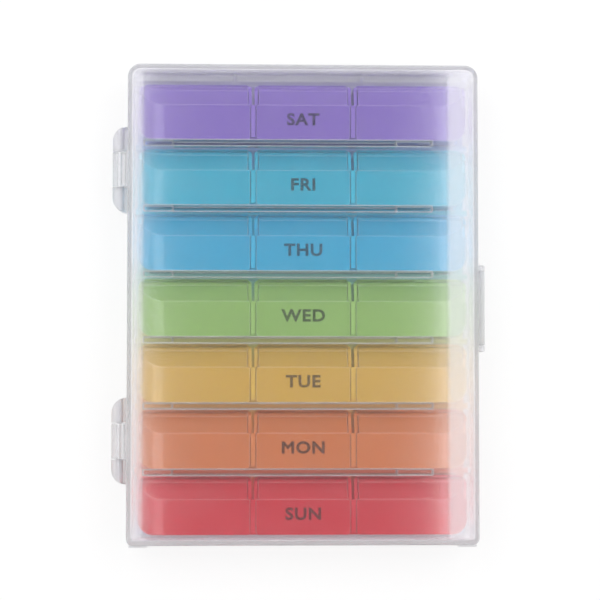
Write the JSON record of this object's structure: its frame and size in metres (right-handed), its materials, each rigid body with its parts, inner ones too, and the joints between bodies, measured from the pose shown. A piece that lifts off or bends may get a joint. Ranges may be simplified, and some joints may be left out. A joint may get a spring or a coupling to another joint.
{
  "type": "weekly pill box",
  "caption": "Frosted hinged case that holds a row of removable coloured day boxes, each with hinged lids over its pill compartments.",
  "frame": {"origin": "middle of the case's back face, without the hinges, latch and foot pads", "axes": "+X across the case from hinges to latch, +Y along it from the Sunday box to the Saturday box, +Z from the back up to the cover"},
  "size_m": [0.1222, 0.1566, 0.028],
  "materials": {
    "frosted_case": "frosted translucent polypropylene",
    "frosted_cover": "lightly frosted translucent polypropylene",
    "translucent_red": "translucent coloured polypropylene",
    "translucent_orange": "translucent coloured polypropylene",
    "translucent_yellow": "translucent coloured polypropylene",
    "translucent_green": "translucent coloured polypropylene",
    "translucent_blue": "translucent coloured polypropylene",
    "translucent_teal": "translucent coloured polypropylene",
    "translucent_purple": "translucent coloured polypropylene"
  },
  "bodies": {
    "case": {"case_base": "frosted_case", "upper_hinge_pin": "frosted_case", "lower_hinge_pin": "frosted_case"},
    "cover": {"case_cover": "frosted_cover"},
    "latch": {"cover_latch": "frosted_case"},
    "sunday_box": {"sunday_box": "translucent_red"},
    "sunday_left_lid": {"sunday_left_lid": "translucent_red"},
    "sunday_middle_lid": {"sunday_middle_lid": "translucent_red"},
    "sunday_right_lid": {"sunday_right_lid": "translucent_red"},
    "monday_box": {"monday_box": "translucent_orange"},
    "monday_left_lid": {"monday_left_lid": "translucent_orange"},
    "monday_middle_lid": {"monday_middle_lid": "translucent_orange"},
    "monday_right_lid": {"monday_right_lid": "translucent_orange"},
    "tuesday_box": {"tuesday_box": "translucent_yellow"},
    "tuesday_left_lid": {"tuesday_left_lid": "translucent_yellow"},
    "tuesday_middle_lid": {"tuesday_middle_lid": "translucent_yellow"},
    "tuesday_right_lid": {"tuesday_right_lid": "translucent_yellow"},
    "wednesday_box": {"wednesday_box": "translucent_green"},
    "wednesday_left_lid": {"wednesday_left_lid": "translucent_green"},
    "wednesday_middle_lid": {"wednesday_middle_lid": "translucent_green"},
    "wednesday_right_lid": {"wednesday_right_lid": "translucent_green"},
    "thursday_box": {"thursday_box": "translucent_blue"},
    "thursday_left_lid": {"thursday_left_lid": "translucent_blue"},
    "thursday_middle_lid": {"thursday_middle_lid": "translucent_blue"},
    "thursday_right_lid": {"thursday_right_lid": "translucent_blue"},
    "friday_box": {"friday_box": "translucent_teal"},
    "friday_left_lid": {"friday_left_lid": "translucent_teal"},
    "friday_middle_lid": {"friday_middle_lid": "translucent_teal"},
    "friday_right_lid": {"friday_right_lid": "translucent_teal"},
    "saturday_box": {"saturday_box": "translucent_purple"},
    "saturday_left_lid": {"saturday_left_lid": "translucent_purple"},
    "saturday_middle_lid": {"saturday_middle_lid": "translucent_purple"},
    "saturday_right_lid": {"saturday_right_lid": "translucent_purple"}
  },
  "joints": [
    {"name": "cover_hinge", "type": "hinge", "parent": "case", "child": "cover", "pos_m": [-0.0599, 0, 0.0141], "axis": [0, -1, 0], "range_deg": [0, 180]},
    {"name": "latch_swing", "type": "hinge", "parent": "cover", "child": "latch", "pos_m": [0.0586, -0.00115, 0.0207], "axis": [0, -1, 0], "range_deg": [0, 100]},
    {"name": "sunday_lift", "type": "slide", "parent": "case", "child": "sunday_box", "axis": [0, 0, 1], "range_m": [0, 0.012]},
    {"name": "sunday_left_lid_hinge", "type": "hinge", "parent": "sunday_box", "child": "sunday_left_lid", "pos_m": [-0.0351, -0.0579, 0.0195], "axis": [-1, 0, 0], "range_deg": [0, 90]},
    {"name": "sunday_middle_lid_hinge", "type": "hinge", "parent": "sunday_box", "child": "sunday_middle_lid", "pos_m": [0, -0.0579, 0.0195], "axis": [-1, 0, 0], "range_deg": [0, 90]},
    {"name": "sunday_right_lid_hinge", "type": "hinge", "parent": "sunday_box", "child": "sunday_right_lid", "pos_m": [0.0351, -0.0579, 0.0195], "axis": [-1, 0, 0], "range_deg": [0, 90]},
    {"name": "monday_lift", "type": "slide", "parent": "case", "child": "monday_box", "axis": [0, 0, 1], "range_m": [0, 0.012]},
    {"name": "monday_left_lid_hinge", "type": "hinge", "parent": "monday_box", "child": "monday_left_lid", "pos_m": [-0.0351, -0.03656, 0.0195], "axis": [-1, 0, 0], "range_deg": [0, 90]},
    {"name": "monday_middle_lid_hinge", "type": "hinge", "parent": "monday_box", "child": "monday_middle_lid", "pos_m": [0, -0.03656, 0.0195], "axis": [-1, 0, 0], "range_deg": [0, 90]},
    {"name": "monday_right_lid_hinge", "type": "hinge", "parent": "monday_box", "child": "monday_right_lid", "pos_m": [0.0351, -0.03656, 0.0195], "axis": [-1, 0, 0], "range_deg": [0, 90]},
    {"name": "tuesday_lift", "type": "slide", "parent": "case", "child": "tuesday_box", "axis": [0, 0, 1], "range_m": [0, 0.012]},
    {"name": "tuesday_left_lid_hinge", "type": "hinge", "parent": "tuesday_box", "child": "tuesday_left_lid", "pos_m": [-0.0351, -0.01522, 0.0195], "axis": [-1, 0, 0], "range_deg": [0, 90]},
    {"name": "tuesday_middle_lid_hinge", "type": "hinge", "parent": "tuesday_box", "child": "tuesday_middle_lid", "pos_m": [0, -0.01522, 0.0195], "axis": [-1, 0, 0], "range_deg": [0, 90]},
    {"name": "tuesday_right_lid_hinge", "type": "hinge", "parent": "tuesday_box", "child": "tuesday_right_lid", "pos_m": [0.0351, -0.01522, 0.0195], "axis": [-1, 0, 0], "range_deg": [0, 90]},
    {"name": "wednesday_lift", "type": "slide", "parent": "case", "child": "wednesday_box", "axis": [0, 0, 1], "range_m": [0, 0.012]},
    {"name": "wednesday_left_lid_hinge", "type": "hinge", "parent": "wednesday_box", "child": "wednesday_left_lid", "pos_m": [-0.0351, 0.00612, 0.0195], "axis": [-1, 0, 0], "range_deg": [0, 90]},
    {"name": "wednesday_middle_lid_hinge", "type": "hinge", "parent": "wednesday_box", "child": "wednesday_middle_lid", "pos_m": [0, 0.00612, 0.0195], "axis": [-1, 0, 0], "range_deg": [0, 90]},
    {"name": "wednesday_right_lid_hinge", "type": "hinge", "parent": "wednesday_box", "child": "wednesday_right_lid", "pos_m": [0.0351, 0.00612, 0.0195], "axis": [-1, 0, 0], "range_deg": [0, 90]},
    {"name": "thursday_lift", "type": "slide", "parent": "case", "child": "thursday_box", "axis": [0, 0, 1], "range_m": [0, 0.012]},
    {"name": "thursday_left_lid_hinge", "type": "hinge", "parent": "thursday_box", "child": "thursday_left_lid", "pos_m": [-0.0351, 0.02746, 0.0195], "axis": [-1, 0, 0], "range_deg": [0, 90]},
    {"name": "thursday_middle_lid_hinge", "type": "hinge", "parent": "thursday_box", "child": "thursday_middle_lid", "pos_m": [0, 0.02746, 0.0195], "axis": [-1, 0, 0], "range_deg": [0, 90]},
    {"name": "thursday_right_lid_hinge", "type": "hinge", "parent": "thursday_box", "child": "thursday_right_lid", "pos_m": [0.0351, 0.02746, 0.0195], "axis": [-1, 0, 0], "range_deg": [0, 90]},
    {"name": "friday_lift", "type": "slide", "parent": "case", "child": "friday_box", "axis": [0, 0, 1], "range_m": [0, 0.012]},
    {"name": "friday_left_lid_hinge", "type": "hinge", "parent": "friday_box", "child": "friday_left_lid", "pos_m": [-0.0351, 0.0488, 0.0195], "axis": [-1, 0, 0], "range_deg": [0, 90]},
    {"name": "friday_middle_lid_hinge", "type": "hinge", "parent": "friday_box", "child": "friday_middle_lid", "pos_m": [0, 0.0488, 0.0195], "axis": [-1, 0, 0], "range_deg": [0, 90]},
    {"name": "friday_right_lid_hinge", "type": "hinge", "parent": "friday_box", "child": "friday_right_lid", "pos_m": [0.0351, 0.0488, 0.0195], "axis": [-1, 0, 0], "range_deg": [0, 90]},
    {"name": "saturday_lift", "type": "slide", "parent": "case", "child": "saturday_box", "axis": [0, 0, 1], "range_m": [0, 0.012]},
    {"name": "saturday_left_lid_hinge", "type": "hinge", "parent": "saturday_box", "child": "saturday_left_lid", "pos_m": [-0.0351, 0.07014, 0.0195], "axis": [-1, 0, 0], "range_deg": [0, 90]},
    {"name": "saturday_middle_lid_hinge", "type": "hinge", "parent": "saturday_box", "child": "saturday_middle_lid", "pos_m": [0, 0.07014, 0.0195], "axis": [-1, 0, 0], "range_deg": [0, 90]},
    {"name": "saturday_right_lid_hinge", "type": "hinge", "parent": "saturday_box", "child": "saturday_right_lid", "pos_m": [0.0351, 0.07014, 0.0195], "axis": [-1, 0, 0], "range_deg": [0, 90]}
  ],
  "couplings": [
    {"joint": "sunday_lift", "follows": "cover_hinge", "m_per_rad": 0.003819},
    {"joint": "sunday_left_lid_hinge", "follows": "cover_hinge", "ratio": 0.5},
    {"joint": "sunday_middle_lid_hinge", "follows": "cover_hinge", "ratio": 0.5},
    {"joint": "sunday_right_lid_hinge", "follows": "cover_hinge", "ratio": 0.5},
    {"joint": "monday_lift", "follows": "cover_hinge", "m_per_rad": 0.003819},
    {"joint": "monday_left_lid_hinge", "follows": "cover_hinge", "ratio": 0.5},
    {"joint": "monday_middle_lid_hinge", "follows": "cover_hinge", "ratio": 0.5},
    {"joint": "monday_right_lid_hinge", "follows": "cover_hinge", "ratio": 0.5},
    {"joint": "tuesday_lift", "follows": "cover_hinge", "m_per_rad": 0.003819},
    {"joint": "tuesday_left_lid_hinge", "follows": "cover_hinge", "ratio": 0.5},
    {"joint": "tuesday_middle_lid_hinge", "follows": "cover_hinge", "ratio": 0.5},
    {"joint": "tuesday_right_lid_hinge", "follows": "cover_hinge", "ratio": 0.5},
    {"joint": "wednesday_lift", "follows": "cover_hinge", "m_per_rad": 0.003819},
    {"joint": "wednesday_left_lid_hinge", "follows": "cover_hinge", "ratio": 0.5},
    {"joint": "wednesday_middle_lid_hinge", "follows": "cover_hinge", "ratio": 0.5},
    {"joint": "wednesday_right_lid_hinge", "follows": "cover_hinge", "ratio": 0.5},
    {"joint": "thursday_lift", "follows": "cover_hinge", "m_per_rad": 0.003819},
    {"joint": "thursday_left_lid_hinge", "follows": "cover_hinge", "ratio": 0.5},
    {"joint": "thursday_middle_lid_hinge", "follows": "cover_hinge", "ratio": 0.5},
    {"joint": "thursday_right_lid_hinge", "follows": "cover_hinge", "ratio": 0.5},
    {"joint": "friday_lift", "follows": "cover_hinge", "m_per_rad": 0.003819},
    {"joint": "friday_left_lid_hinge", "follows": "cover_hinge", "ratio": 0.5},
    {"joint": "friday_middle_lid_hinge", "follows": "cover_hinge", "ratio": 0.5},
    {"joint": "friday_right_lid_hinge", "follows": "cover_hinge", "ratio": 0.5},
    {"joint": "saturday_lift", "follows": "cover_hinge", "m_per_rad": 0.003819},
    {"joint": "saturday_left_lid_hinge", "follows": "cover_hinge", "ratio": 0.5},
    {"joint": "saturday_middle_lid_hinge", "follows": "cover_hinge", "ratio": 0.5},
    {"joint": "saturday_right_lid_hinge", "follows": "cover_hinge", "ratio": 0.5}
  ]
}
